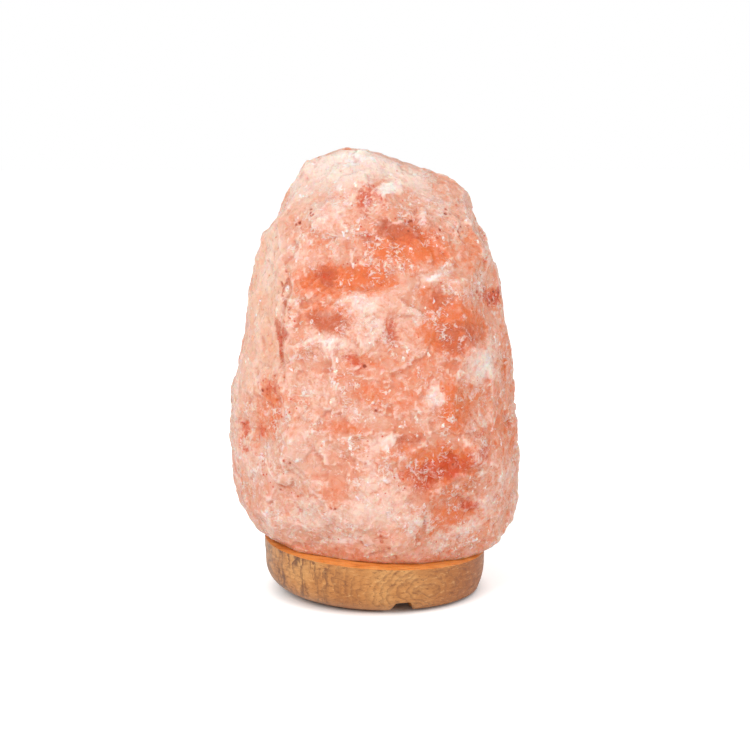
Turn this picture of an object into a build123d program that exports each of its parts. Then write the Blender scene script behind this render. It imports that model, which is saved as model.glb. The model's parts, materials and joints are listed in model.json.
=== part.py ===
from build123d import *
from math import cos, radians, sin, sqrt, tan
import os

# Salt crystal lamp: a hewn block of rock salt on a turned wooden base. The block is
# drilled from below for a small screw-cap bulb, whose holder a spring clip keeps in
# the base. Millimetres, +Z up, -Y towards the viewer. The origin is on the table,
# under the middle of the lamp.

# ---------------------------------------------------------------- driving sizes
# Block of salt
crystal_width = 145.0
crystal_depth = 118.5
crystal_height = 188.0  # above the middle of the base
slab_width = 110.0  # of the slabs that have split off its sides
slab_reach = 40.0
widest_rise = 0.27  # share of its height at which it is widest
egg_share = 0.6  # half length of the egg that fits it best, as a share of its height
chamber_radius = 21.0  # core-drilled through the base and up into the salt
chamber_headroom = 6.0  # over the bulb when it is fully unscrewed
chamber_dome = 7.0  # rise of the chamber's worn, rounded roof

# Wooden base, a turned disc sawn off at a slope, higher on the left
base_radius = 53.2
base_height = 21.5  # at the axis, without the pads
base_slope = 3.5  # degrees
base_foot_shift = 4.3  # the foot was turned off centre, to the right
recess_radius = 27.0
recess_depth = 7.5
groove_width = 11.3
groove_crown = 7.0  # its width at the top
groove_depth = 4.5
groove_corner = 1.5
groove_azimuth = -75.0  # degrees from +X, just right of the front

# Pads, screws and plugs
pad_count = 4
pad_radius = 4.5
pad_thickness = 1.5
pad_chamfer = 0.4
pad_circle = 38.0  # round the middle of the foot
screw_count = 3
screw_circle = 34.0
screw_shank_radius = 1.9
screw_head_radius = 3.7
screw_length = 35.0
screw_sink = 0.4  # depth of the head below the wood
screw_cone_angle = 90.0
screw_point_length = 3.8
screw_drive_width = 0.9
screw_drive_depth = 1.4
plug_radius = 3.5
plug_length = 22.0

# Spring clip, a cross of steel strip
clip_thickness = 0.8
clip_width = 8.0
clip_hub_radius = 11.0
clip_step = 12.0  # from its feet up to its hub
clip_foot_drop = 17.2  # radius at which the foot arms turn down
clip_foot_reach = 24.6
clip_leg_height = 28.0
clip_bend = 1.6
clip_overlap = 2.2  # of its arms and hub

# Bulb holder
holder_radius = 14.0
holder_mouth_radius = 12.8
holder_wall = 1.8
cap_floor = 2.2
cap_corner = 3.5
cap_flutes = 24
cap_flute_radius = 0.9
cap_flute_depth = 0.6
spigot_wall = 1.75
spigot_length = 4.5
skirt_height = 30.0
skirt_lip = 1.6
block_shoulder = 1.1
block_flange = 2.0
block_height = 8.5
collar_height = 8.0
collar_wall = 1.6
nipple_radius = 5.0
nipple_wall = 1.2
nipple_chamfer = 0.3
washer_radius = 7.2
washer_thickness = 0.8
nut_flats = 14.0
nut_height = 3.0
nipple_end = 0.5  # left standing above the nut
gland_height = 9.0
gland_flats = 15.0
gland_hex_height = 5.5
gland_mouth_radius = 3.6
gland_nose_radius = 5.6
gland_thread_depth = 6.0

# Contacts and terminals
sleeve_wall = 0.35
sleeve_height = 22.0
sleeve_hole_radius = 4.2
sleeve_lip = 0.7
leaf_slot_width = 5.4  # in the sleeve's floor
leaf_thickness = 0.4
leaf_width = 4.0
leaf_height = 3.2
leaf_root = 6.5
leaf_turn = 2.2
leaf_tip = 2.4
post_length = 5.6
post_width = 7.0
post_height = 7.5
post_reach = 6.1
post_stem_reach = 5.4
post_stem_radius = 0.9
post_head_radius = 1.3
post_head_height = 0.4
wire_hole_radius = 1.3
wire_hole_depth = 5.5
terminal_screw_radius = 1.2
terminal_head_radius = 1.8
terminal_head_height = 1.2
terminal_slot = 0.5

# Pygmy bulb with a 14 mm screw cap
bulb_radius = 14.0
bulb_length = 62.0
bulb_cap_radius = 6.95
bulb_cap_wall = 0.3
bulb_cap_start = 4.0  # above the tip
bulb_cap_length = 18.0
bulb_cap_rim = 0.55
bulb_cap_flare = 1.65
bulb_body_height = 42.0  # above the tip, where the glass is widest
glass_thickness = 0.8
glass_neck_depth = 9.0  # inside the cap
thread_pitch = 2.822
thread_turns = 5.0
tip_radius = 2.4
tip_height = 1.0
tip_stem_radius = 1.4
insulator_low_radius = 3.2
insulator_start = 1.0
stem_flare = 0.8
stem_radius = 2.4
stem_height = 20.0
lead_radius = 0.35
lead_spread = 5.6
lead_root = 1.2
lead_height = 12.0
lead_straight = 3.0  # of each end
filament_radius = 0.2
filament_rise = 3.2

# Clearances
wood_clearance = 0.3  # screw in the wood
screw_fit = 0.05  # screw in the plug
clip_clearance = 0.3  # clip in the base
part_fit = 0.15  # plastic and ceramic parts in each other
metal_fit = 0.1  # metal parts in their seats
contact_gap = 0.1  # leaf to tip
overrun = 2.0  # how far cutters reach past what they cut

# ------------------------------------------------------- heights up the axis
underside = pad_thickness
base_top = underside + base_height
sawn_plane = Plane(origin=(0, 0, base_top), z_dir=(0, 0, 1)).rotated((0, base_slope, 0))
ledge = underside + recess_depth
foot_low = ledge - clip_clearance - clip_thickness
hub_low = foot_low + clip_step
cap_low = hub_low + clip_thickness
washer_low = cap_low + cap_floor
nut_low = washer_low + washer_thickness
nipple_top = nut_low + nut_height + nipple_end
post_low = nipple_top + clip_thickness
block_low = post_low + post_height
spigot_low = block_low + block_flange
skirt_low = spigot_low + spigot_length
block_top = block_low + block_height
holder_top = skirt_low + skirt_height
tip_low = block_top + leaf_height + contact_gap
bulb_cap_low = tip_low + bulb_cap_start
bulb_cap_top = bulb_cap_low + bulb_cap_length
glass_low = bulb_cap_top - glass_neck_depth
bulb_top = tip_low + bulb_length
unscrew_travel = thread_pitch * thread_turns
chamber_roof = bulb_top + unscrew_travel + chamber_headroom

# ------------------------------------------------------------ radii that fit
spigot_radius = holder_radius - holder_wall - part_fit
skirt_bore = spigot_radius - spigot_wall
block_radius = skirt_bore - part_fit
cap_bore = spigot_radius - block_shoulder
sleeve_bore = bulb_cap_radius + 2 * metal_fit
sleeve_radius = sleeve_bore + sleeve_wall
collar_bore = sleeve_radius + metal_fit
neck_radius = bulb_cap_radius - bulb_cap_wall - part_fit
neck_bore = neck_radius - glass_thickness
clip_reach = sqrt((chamber_radius - clip_clearance) ** 2 - (clip_width / 2) ** 2)
leg_inside = holder_radius + clip_clearance

# Side of the base, from its foot up: height above the underside, inset from the widest
# radius, and share of the foot's shift. Above the last one it stands upright.
base_sections = (
    (0.0, 7.4, 1.0),
    (2.5, 4.2, 0.46),
    (7.5, 1.3, 0.1),
    (13.5, 0.4, 0.0),
    (20.0, 0.0, 0.0),
)

# The block's outline in plan, as shares of its reach at each height. The sharp
# corner at the front left is the upright ridge between its two front faces.
plan_outline = (
    (-1.00, 0.10),
    (-0.93, -0.36),
    (-0.60, -0.92),
    (0.06, -1.00),
    (0.64, -0.88),
    (0.97, -0.36),
    (0.95, 0.42),
    (0.46, 0.94),
    (-0.28, 1.00),
    (-0.86, 0.60),
)
# How the block swells and narrows, from the bottom up: share of the height, then its
# reach to the left, right, front and back as shares of half the width and depth,
# then the turn of its outline and the lean of its level to the side, in degrees.
crystal_levels = (
    (-0.045, -0.50, 0.58, -0.55, 0.60, 3.0, 3.5),
    (0.010, -0.69, 0.76, -0.76, 0.78, -3.0, 1.0),
    (0.055, -0.84, 0.97, -0.87, 0.87, 3.0, 0.0),
    (0.110, -0.93, 1.01, -0.94, 0.93, -3.0, 1.0),
    (0.271, -0.98, 1.02, -0.98, 1.03, 3.0, 0.0),
    (0.394, -0.965, 0.945, -0.97, 1.01, -3.0, 2.0),
    (0.500, -0.89, 0.90, -0.94, 0.94, 4.0, 1.0),
    (0.660, -0.83, 0.82, -0.86, 0.85, -4.0, -2.0),
    (0.745, -0.78, 0.775, -0.80, 0.78, 3.0, 0.0),
    (0.835, -0.69, 0.76, -0.68, 0.67, -3.0, 1.0),
    (0.894, -0.60, 0.65, -0.55, 0.54, 4.0, 2.0),
    (0.932, -0.54, 0.50, -0.46, 0.45, 0.0, 2.0),
    (0.972, -0.41, 0.18, -0.32, 0.34, 0.0, 3.0),
    (1.000, -0.21, -0.07, -0.14, 0.18, 0.0, 0.0),
)
# Flat breaks across its corners: azimuth and lean of the break's normal in degrees,
# then its distance from the block's middle as a share of half the width.
breaks = (
    (-36.0, 4.0, 0.86),
    (-20.0, 40.0, 1.16),
    (-148.0, 20.0, 0.91),
    (-128.0, 44.0, 1.05),
    (160.0, 36.0, 1.10),
    (64.0, 26.0, 0.93),
    (120.0, 4.0, 0.85),
    (36.0, -14.0, 1.17),
    (-64.0, 48.0, 1.08),
    (-112.0, -30.0, 1.15),
    (-58.0, -24.0, 1.10),
    (100.0, -28.0, 1.13),
)
# Steps where a slab has split off, leaving a ledge under it: azimuth that the step
# faces, place across as a share of half the width, share of the height, depth in mm,
# then the lean of its wall and the fall of its ledge in degrees.
steps = (
    (-96.0, -0.04, 0.684, 3.4, 10.0, 16.0),
    (-60.0, 0.05, 0.708, 3.0, 12.0, 24.0),
    (-24.0, 0.02, 0.330, 2.4, 2.0, 30.0),
    (24.0, -0.05, 0.610, 2.6, 8.0, 24.0),
    (78.0, 0.10, 0.560, 3.4, 8.0, 18.0),
    (132.0, 0.04, 0.780, 3.0, 12.0, 22.0),
    (172.0, -0.10, 0.440, 2.8, 6.0, 34.0),
)
# Shell-shaped scars where pieces have broken out of the front: place across as a
# share of half the width, share of the height, depth and radius of the curve in mm.
front_shells = (
    (-0.40, 0.618, 2.4, 36.0),
    (0.32, 0.638, 2.2, 48.0),
    (0.21, 0.800, 2.0, 70.0),
    (-0.24, 0.705, 2.2, 44.0),
    (0.39, 0.244, 2.8, 75.0),
    (0.68, 0.395, 2.0, 80.0),
    (-0.22, 0.252, 1.7, 80.0),
    (-0.35, 0.420, 1.5, 80.0),
    (-0.49, 0.120, 1.2, 100.0),
    (0.14, 0.500, 1.6, 60.0),
    (0.50, 0.090, 1.6, 80.0),
    (-0.74, 0.345, 1.6, 90.0),
    (0.56, 0.766, 1.4, 90.0),
    (-0.20, 0.950, 1.4, 60.0),
)
# Scars round its sides and back, one after the other up a spiral: depth and radius of
# the curve in mm, or for a flat one no radius, then its tilt in degrees each way.
side_scars = (
    (2.2, 60.0, 0.0, 0.0),
    (1.0, None, 7.0, -4.0),
    (2.0, 80.0, 0.0, 0.0),
    (1.2, None, -8.0, 3.0),
    (2.4, 50.0, 0.0, 0.0),
    (1.0, None, 2.0, 9.0),
    (2.0, 100.0, 0.0, 0.0),
    (1.1, None, -3.0, -9.0),
)
side_scar_count = 44
side_scar_start = 90.0  # degrees round from the front
side_scar_turn = 137.5  # degrees from one to the next
side_scar_heights = (0.06, 0.94)  # shares of the height
front_azimuth = -90.0  # azimuth of the viewer's side
front_width = 46.0  # degrees to each side of the front, which has scars of its own


def level_points(left, right, front, back, turn):
    """Corners of the block's outline at one height, in mm."""
    turned = [Vector(x, y).rotate(Axis.Z, turn) for x, y in plan_outline]
    xs = [point.X for point in turned]
    ys = [point.Y for point in turned]
    corners = []
    for point in turned:
        across = left + (right - left) * (point.X - min(xs)) / (max(xs) - min(xs))
        deep = front + (back - front) * (point.Y - min(ys)) / (max(ys) - min(ys))
        corners.append((across * crystal_width / 2, deep * crystal_depth / 2))
    return corners


def level_plane(rise, lean):
    """Plane across the block at a share of its height, leaning down to the right."""
    level = Plane(origin=(0, 0, base_top + rise * crystal_height), z_dir=(0, 0, 1))
    return level.rotated((0, lean, 0))


def break_plane(azimuth, lean, share):
    """Plane of a flat break, facing away from the block."""
    normal = Vector(1, 0, 0).rotate(Axis.Y, -lean).rotate(Axis.Z, azimuth)
    middle = Vector(0, 0, base_top + crystal_height / 2)
    return Plane(origin=middle + normal * share * crystal_width / 2, z_dir=normal)


def surface_place(block, azimuth, across, rise):
    """Plane laid on the block where a level line from that side meets it.

    It is square to a smooth egg of the block's size, whatever the facet there does.
    """
    outward = Vector(1, 0, 0).rotate(Axis.Z, azimuth)
    side = Vector(0, 0, 1).cross(outward)
    start = side * across * crystal_width / 2 + Vector(0, 0, base_top + rise * crystal_height)
    hits = block.find_intersection_points(Axis(start, outward))
    point = max([hit[0] for hit in hits], key=outward.dot)
    square = Vector(
        point.X / (crystal_width / 2) ** 2,
        point.Y / (crystal_depth / 2) ** 2,
        (point.Z - base_top - widest_rise * crystal_height) / (egg_share * crystal_height) ** 2,
    ).normalized()
    return Plane(origin=point, x_dir=side - square * side.dot(square), z_dir=square)


def dome_radius(half_width, rise):
    """Radius of the ball whose cap has this half width and rise."""
    return (half_width**2 + rise**2) / (2 * rise)


def sawn_height(x):
    """Height of the sawn top of the base at x."""
    return base_top - x * tan(radians(base_slope))


screw_start = groove_azimuth + 180
pad_start = groove_azimuth + 180 / pad_count
screw_places = [
    (screw_circle * cos(radians(angle)), screw_circle * sin(radians(angle)))
    for angle in [screw_start + 360 / screw_count * index for index in range(screw_count)]
]

# ------------------------------------------------------------------ lamp body
with BuildPart() as salt_crystal:
    for rise, left, right, front, back, turn, lean in crystal_levels:
        with BuildSketch(level_plane(rise, lean)):
            with BuildLine():
                Polyline(*level_points(left, right, front, back, turn), close=True)
            make_face()
    loft(ruled=True)
    for azimuth, lean, share in breaks:
        split(bisect_by=break_plane(azimuth, lean, share), keep=Keep.BOTTOM)
    for azimuth, across, rise, depth, lean, fall in steps:
        outward = Vector(1, 0, 0).rotate(Axis.Z, azimuth)
        place = surface_place(salt_crystal.part, azimuth, across, rise)
        corner = place.origin - outward * depth
        with BuildSketch(Plane(origin=corner, x_dir=outward, z_dir=outward.cross(Vector(0, 0, 1)))):
            with BuildLine():
                Polyline(
                    (0, 0),
                    (slab_reach, -slab_reach * tan(radians(fall))),
                    (slab_reach, slab_reach),
                    (-slab_reach * tan(radians(lean)), slab_reach),
                    close=True,
                )
            make_face()
        extrude(amount=slab_width / 2, both=True, mode=Mode.SUBTRACT)
    scars = []
    for across, rise, depth, curve in front_shells:
        scars.append((front_azimuth, across, rise, depth, curve, 0, 0))
    low_scar, high_scar = side_scar_heights
    for index in range(side_scar_count):
        turned = (side_scar_start + index * side_scar_turn) % 360
        rise = low_scar + (high_scar - low_scar) * index / side_scar_count
        if front_width < turned < 360 - front_width:
            scars.append((front_azimuth + turned, 0, rise) + side_scars[index % len(side_scars)])
    for azimuth, across, rise, depth, curve, tip, swing in scars:
        place = surface_place(salt_crystal.part, azimuth, across, rise)
        if curve is None:
            split(bisect_by=place.offset(-depth).rotated((tip, swing, 0)), keep=Keep.BOTTOM)
        else:
            with Locations(place.offset(curve - depth)):
                Sphere(curve, mode=Mode.SUBTRACT)
    # sawn flat underneath, to stand on the base
    split(bisect_by=sawn_plane, keep=Keep.TOP)
    # chamber for the bulb
    wall_top = (chamber_radius, chamber_roof - chamber_dome)
    with BuildSketch(Plane.XZ):
        with BuildLine():
            Polyline((0, chamber_roof), (0, 0), (chamber_radius, 0), wall_top)
            RadiusArc(wall_top, (0, chamber_roof), -dome_radius(chamber_radius, chamber_dome))
        make_face()
    revolve(axis=Axis.Z, mode=Mode.SUBTRACT)
    # holes for the plugs
    for x, y in screw_places:
        with BuildSketch():
            with Locations((x, y)):
                Circle(plug_radius)
        extrude(amount=sawn_height(x) + plug_length, mode=Mode.SUBTRACT)

with BuildPart() as wood_base:
    above = base_top + base_radius * tan(radians(base_slope)) + overrun
    for height, inset, shift in base_sections:
        with BuildSketch(Plane.XY.offset(underside + height)):
            with Locations((base_foot_shift * shift, 0)):
                Circle(base_radius - inset)
    loft()
    with BuildSketch(Plane.XY.offset(underside + height)):
        Circle(base_radius)
    extrude(amount=above - underside - height)
    split(bisect_by=sawn_plane, keep=Keep.BOTTOM)
    with BuildSketch(Plane.XY.offset(underside)):
        Circle(recess_radius)
    extrude(amount=recess_depth, mode=Mode.SUBTRACT)
    with BuildSketch(Plane.XY):
        Circle(chamber_radius)
    extrude(amount=above, mode=Mode.SUBTRACT)
    # groove for the cord, from the recess out through the side
    outward = (cos(radians(groove_azimuth)), sin(radians(groove_azimuth)), 0)
    across = (-outward[1], outward[0], 0)
    with BuildSketch(Plane(origin=(0, 0, underside), x_dir=across, z_dir=outward)) as groove_section:
        with BuildLine():
            Polyline(
                (-groove_width / 2, -overrun),
                (groove_width / 2, -overrun),
                (groove_width / 2, 0),
                (groove_crown / 2, groove_depth),
                (-groove_crown / 2, groove_depth),
                (-groove_width / 2, 0),
                close=True,
            )
        make_face()
        fillet(groove_section.vertices().group_by(Axis.Y)[-1], radius=groove_corner)
    extrude(amount=base_radius + overrun, mode=Mode.SUBTRACT)
    # screw holes, countersunk from below
    with Locations(Plane(origin=(0, 0, underside), x_dir=(1, 0, 0), z_dir=(0, 0, -1))):
        with PolarLocations(screw_circle, screw_count, start_angle=-screw_start):
            CounterSinkHole(
                screw_shank_radius + wood_clearance,
                screw_head_radius + wood_clearance + screw_sink,
                depth=above,
                counter_sink_angle=screw_cone_angle,
            )

with BuildPart() as base_screw:
    head_low = underside + screw_sink
    cone = (screw_head_radius - screw_shank_radius) / tan(radians(screw_cone_angle / 2))
    with BuildSketch(Plane.XZ):
        with BuildLine():
            Polyline(
                (0, head_low),
                (screw_head_radius, head_low),
                (screw_shank_radius, head_low + cone),
                (screw_shank_radius, head_low + screw_length - screw_point_length),
                (0, head_low + screw_length),
                close=True,
            )
        make_face()
    revolve(axis=Axis.Z)
    with BuildSketch(Plane.XY.offset(head_low)):
        Rectangle(screw_head_radius, screw_drive_width)
        Rectangle(screw_drive_width, screw_head_radius)
    extrude(amount=screw_drive_depth, mode=Mode.SUBTRACT)

with BuildPart() as base_screws:
    with PolarLocations(screw_circle, screw_count, start_angle=screw_start):
        add(base_screw.part)

with BuildPart() as screw_plugs:
    for x, y in screw_places:
        with BuildSketch():
            with Locations((x, y)):
                Circle(plug_radius)
        extrude(amount=sawn_height(x) + plug_length)
    with BuildSketch():
        with Locations(*screw_places):
            Circle(screw_shank_radius + screw_fit)
    extrude(amount=head_low + screw_length + screw_fit, mode=Mode.SUBTRACT)
    split(bisect_by=sawn_plane, keep=Keep.TOP)

with BuildPart() as foot_pads:
    with BuildSketch():
        with Locations((base_foot_shift, 0)):
            with PolarLocations(pad_circle, pad_count, start_angle=pad_start):
                Circle(pad_radius)
    extrude(amount=pad_thickness)
    chamfer(foot_pads.edges().group_by(Axis.Z)[0], length=pad_chamfer)

# ---------------------------------------------------------------- lamp holder
with BuildPart() as spring_clip:
    with BuildSketch(Plane.XY.offset(hub_low)):
        Circle(clip_hub_radius)
        Circle(nipple_radius + metal_fit, mode=Mode.SUBTRACT)
    extrude(amount=clip_thickness)
    # two legs, bowed out to press on the wall of the base's hole
    leg_outside = leg_inside + clip_thickness
    leg_top = hub_low + clip_leg_height
    leg_middle = hub_low + clip_leg_height / 2
    arm_start = clip_hub_radius - clip_overlap
    with BuildSketch(Plane.XZ) as leg_profile:
        with BuildLine():
            Polyline((arm_start, cap_low), (arm_start, hub_low), (leg_outside, hub_low))
            ThreePointArc((leg_outside, hub_low), (clip_reach, leg_middle), (leg_outside, leg_top))
            Line((leg_outside, leg_top), (leg_inside, leg_top))
            ThreePointArc(
                (leg_inside, leg_top),
                (clip_reach - clip_thickness, leg_middle),
                (leg_inside, cap_low),
            )
            Line((leg_inside, cap_low), (arm_start, cap_low))
        make_face()
        mirror(about=Plane.YZ)
    extrude(amount=clip_width / 2, both=True)
    # two arms with feet that stop under the base's ledge
    hub_mid = hub_low + clip_thickness / 2
    foot_mid = foot_low + clip_thickness / 2
    with BuildSketch(Plane.YZ) as arm_profile:
        with BuildLine() as arm_line:
            FilletPolyline(
                (arm_start, hub_mid),
                (clip_foot_drop, hub_mid),
                (clip_foot_drop, foot_mid),
                (clip_foot_reach, foot_mid),
                radius=clip_bend,
            )
        trace(arm_line.line, line_width=clip_thickness)
        mirror(about=Plane.YZ)
    extrude(amount=clip_width / 2, both=True)

with BuildPart() as holder_cap:
    with BuildSketch(Plane.XZ) as cap_profile:
        with BuildLine():
            Polyline(
                (nipple_radius + metal_fit, cap_low),
                (holder_radius, cap_low),
                (holder_radius, skirt_low),
                (spigot_radius + part_fit, skirt_low),
                (spigot_radius + part_fit, block_low),
                (cap_bore, block_low),
                (cap_bore, washer_low),
                (nipple_radius + metal_fit, washer_low),
                close=True,
            )
        make_face()
        fillet(cap_profile.vertices().group_by(Axis.Y)[0].sort_by(Axis.X)[-1], radius=cap_corner)
    revolve(axis=Axis.Z)
    with BuildSketch(Plane.XY.offset(cap_low + cap_corner)):
        with PolarLocations(holder_radius + cap_flute_radius - cap_flute_depth, cap_flutes):
            Circle(cap_flute_radius)
    extrude(amount=skirt_low - cap_low - 2 * cap_corner, mode=Mode.SUBTRACT)

with BuildPart() as holder_shell:
    with BuildSketch(Plane.XZ):
        with BuildLine():
            Polyline(
                (skirt_bore, spigot_low),
                (spigot_radius, spigot_low),
                (spigot_radius, skirt_low),
                (holder_radius, skirt_low),
                (holder_radius, skirt_low + skirt_lip),
                (holder_mouth_radius, skirt_low + 2 * skirt_lip),
                (holder_mouth_radius, holder_top - skirt_lip),
                (holder_mouth_radius + skirt_lip / 2, holder_top - skirt_lip / 2),
                (holder_mouth_radius, holder_top),
                (skirt_bore, holder_top),
                close=True,
            )
        make_face()
    revolve(axis=Axis.Z)

with BuildPart() as contact_block:
    with BuildSketch(Plane.XZ):
        with BuildLine():
            Polyline(
                (0, block_low),
                (spigot_radius, block_low),
                (spigot_radius, spigot_low),
                (block_radius, spigot_low),
                (block_radius, block_top),
                (collar_bore + collar_wall, block_top),
                (collar_bore + collar_wall, block_top + collar_height),
                (collar_bore, block_top + collar_height),
                (collar_bore, block_top),
                (0, block_top),
                close=True,
            )
        make_face()
    revolve(axis=Axis.Z)
    with BuildSketch(Plane.XY.offset(block_low)):
        with PolarLocations(post_stem_reach, 2):
            Circle(post_stem_radius + screw_fit)
    extrude(amount=block_height, mode=Mode.SUBTRACT)

with BuildPart() as thread_shell:
    with BuildSketch(Plane.XZ):
        with BuildLine():
            Polyline(
                (sleeve_hole_radius, block_top),
                (sleeve_radius, block_top),
                (sleeve_radius, block_top + sleeve_height - sleeve_lip),
                (sleeve_radius + sleeve_lip, block_top + sleeve_height - sleeve_wall),
                (sleeve_radius + sleeve_lip, block_top + sleeve_height),
                (sleeve_bore, block_top + sleeve_height),
                (sleeve_bore, block_top + sleeve_wall),
                (sleeve_hole_radius, block_top + sleeve_wall),
                close=True,
            )
        make_face()
    revolve(axis=Axis.Z)
    # way out for the centre contact, and the hole for the rivet opposite
    with BuildSketch(Plane.XY.offset(block_top)):
        with Locations((-sleeve_bore / 2, 0)):
            Rectangle(sleeve_bore, leaf_slot_width)
    extrude(amount=sleeve_wall, mode=Mode.SUBTRACT)
    with BuildSketch(Plane.XY.offset(block_top)):
        with Locations((post_stem_reach, 0)):
            Circle(post_stem_radius + screw_fit)
    extrude(amount=sleeve_wall, mode=Mode.SUBTRACT)

with BuildPart() as centre_contact:
    with BuildSketch(Plane.XZ):
        with BuildLine() as leaf_line:
            leaf_low = block_top + leaf_thickness / 2
            leaf_high = block_top + leaf_height - leaf_thickness / 2
            Line((-leaf_root, leaf_low), (leaf_turn, leaf_low))
            ThreePointArc(
                (leaf_turn, leaf_low),
                (leaf_turn + (leaf_high - leaf_low) / 2, (leaf_low + leaf_high) / 2),
                (leaf_turn, leaf_high),
            )
            Line((leaf_turn, leaf_high), (-leaf_tip, leaf_high))
        trace(leaf_line.line, line_width=leaf_thickness)
    extrude(amount=leaf_width / 2, both=True)
    with BuildSketch(Plane.XY.offset(block_top)):
        with Locations((-post_stem_reach, 0)):
            Circle(post_stem_radius + screw_fit)
    extrude(amount=leaf_thickness, mode=Mode.SUBTRACT)

with BuildPart() as terminal_posts:
    with BuildSketch(Plane.XY.offset(post_low)):
        with Locations((post_reach, 0), (-post_reach, 0)):
            Rectangle(post_length, post_width)
            Circle(wire_hole_radius, mode=Mode.SUBTRACT)
    extrude(amount=wire_hole_depth)
    with BuildSketch(Plane.XY.offset(post_low + wire_hole_depth)):
        with Locations((post_reach, 0), (-post_reach, 0)):
            Rectangle(post_length, post_width)
    extrude(amount=post_height - wire_hole_depth)
    # holes for the clamping screws, from the outer face into the wire hole
    screw_height = post_low + wire_hole_depth / 2
    post_face = post_reach + post_length / 2
    for side in (-1, 1):
        with BuildSketch(Plane(origin=(side * post_face, 0, screw_height), z_dir=(side, 0, 0))):
            Circle(terminal_screw_radius + screw_fit)
        extrude(amount=-post_length / 2, mode=Mode.SUBTRACT)
    # stems through the block, riveted over the leaf and over the sleeve's floor
    for side, seat in ((-1, leaf_thickness), (1, sleeve_wall)):
        with BuildSketch(Plane.XY.offset(block_low)):
            with Locations((side * post_stem_reach, 0)):
                Circle(post_stem_radius)
        extrude(amount=block_height + seat)
        with BuildSketch(Plane.XY.offset(block_top + seat)):
            with Locations((side * post_stem_reach, 0)):
                Circle(post_head_radius)
        extrude(amount=post_head_height)

with BuildPart() as terminal_screws:
    screw_reach = post_length / 2 - wire_hole_radius / 2
    for side in (-1, 1):
        start = (side * post_face, 0, screw_height)
        face = Plane(origin=start, x_dir=(0, side, 0), z_dir=(side, 0, 0))
        with BuildSketch(face):
            Circle(terminal_screw_radius)
        extrude(amount=-screw_reach)
        with BuildSketch(face):
            Circle(terminal_head_radius)
        extrude(amount=terminal_head_height)
        with BuildSketch(face.offset(terminal_head_height)):
            Rectangle(terminal_slot, 2 * terminal_head_radius + overrun)
        extrude(amount=-terminal_head_height / 2, mode=Mode.SUBTRACT)

with BuildPart() as threaded_nipple:
    with BuildSketch(Plane.XY.offset(hub_low - gland_thread_depth + metal_fit)):
        Circle(nipple_radius)
        Circle(nipple_radius - nipple_wall, mode=Mode.SUBTRACT)
    extrude(amount=nipple_top - hub_low + gland_thread_depth - metal_fit)
    chamfer(threaded_nipple.edges().group_by(Axis.Z)[-1], length=nipple_chamfer)

with BuildPart() as lock_washer:
    with BuildSketch(Plane.XY.offset(washer_low)):
        Circle(washer_radius)
        Circle(nipple_radius + metal_fit, mode=Mode.SUBTRACT)
    extrude(amount=washer_thickness)

with BuildPart() as lock_nut:
    with BuildSketch(Plane.XY.offset(nut_low)):
        RegularPolygon(nut_flats / 2, 6, major_radius=False)
        Circle(nipple_radius + screw_fit, mode=Mode.SUBTRACT)
    extrude(amount=nut_height)

with BuildPart() as cord_gland:
    gland_low = hub_low - gland_height
    with BuildSketch(Plane.XY.offset(hub_low)):
        RegularPolygon(gland_flats / 2, 6, major_radius=False)
    extrude(amount=-gland_hex_height)
    with BuildSketch(Plane.XY.offset(hub_low - gland_hex_height)):
        Circle(gland_flats / 2)
    with BuildSketch(Plane.XY.offset(gland_low)):
        Circle(gland_nose_radius)
    loft()
    with BuildSketch(Plane.XY.offset(gland_low)):
        Circle(gland_mouth_radius)
    extrude(amount=gland_height, mode=Mode.SUBTRACT)
    with BuildSketch(Plane.XY.offset(hub_low)):
        Circle(nipple_radius + screw_fit)
    extrude(amount=-gland_thread_depth, mode=Mode.SUBTRACT)

# ----------------------------------------------------------------------- bulb
with BuildPart() as bulb_contact:
    with BuildSketch(Plane.XZ):
        with BuildLine():
            dome_top = tip_low + tip_height
            Polyline(
                (0, tip_low),
                (0, dome_top + insulator_start),
                (tip_stem_radius, dome_top + insulator_start),
                (tip_stem_radius, dome_top),
                (tip_radius, dome_top),
            )
            RadiusArc((tip_radius, dome_top), (0, tip_low), dome_radius(tip_radius, tip_height))
        make_face()
    revolve(axis=Axis.Z)

with BuildPart() as bulb_insulator:
    with BuildSketch(Plane.XZ):
        with BuildLine():
            Polyline(
                (tip_stem_radius + screw_fit, dome_top + screw_fit),
                (insulator_low_radius, dome_top + screw_fit),
                (bulb_cap_radius - bulb_cap_wall, bulb_cap_low),
                (bulb_cap_radius - bulb_cap_wall, bulb_cap_low + insulator_start),
                (tip_stem_radius + screw_fit, bulb_cap_low + insulator_start),
                close=True,
            )
        make_face()
    revolve(axis=Axis.Z)

with BuildPart() as bulb_cap:
    with BuildSketch(Plane.XZ):
        with BuildLine():
            Polyline(
                (bulb_cap_radius - bulb_cap_wall, bulb_cap_low),
                (bulb_cap_radius, bulb_cap_low + bulb_cap_wall),
                (bulb_cap_radius, bulb_cap_top - bulb_cap_flare),
                (bulb_cap_radius + bulb_cap_rim, bulb_cap_top - bulb_cap_rim),
                (bulb_cap_radius + bulb_cap_rim, bulb_cap_top),
                (bulb_cap_radius - bulb_cap_wall, bulb_cap_top),
                close=True,
            )
        make_face()
    revolve(axis=Axis.Z)

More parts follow.
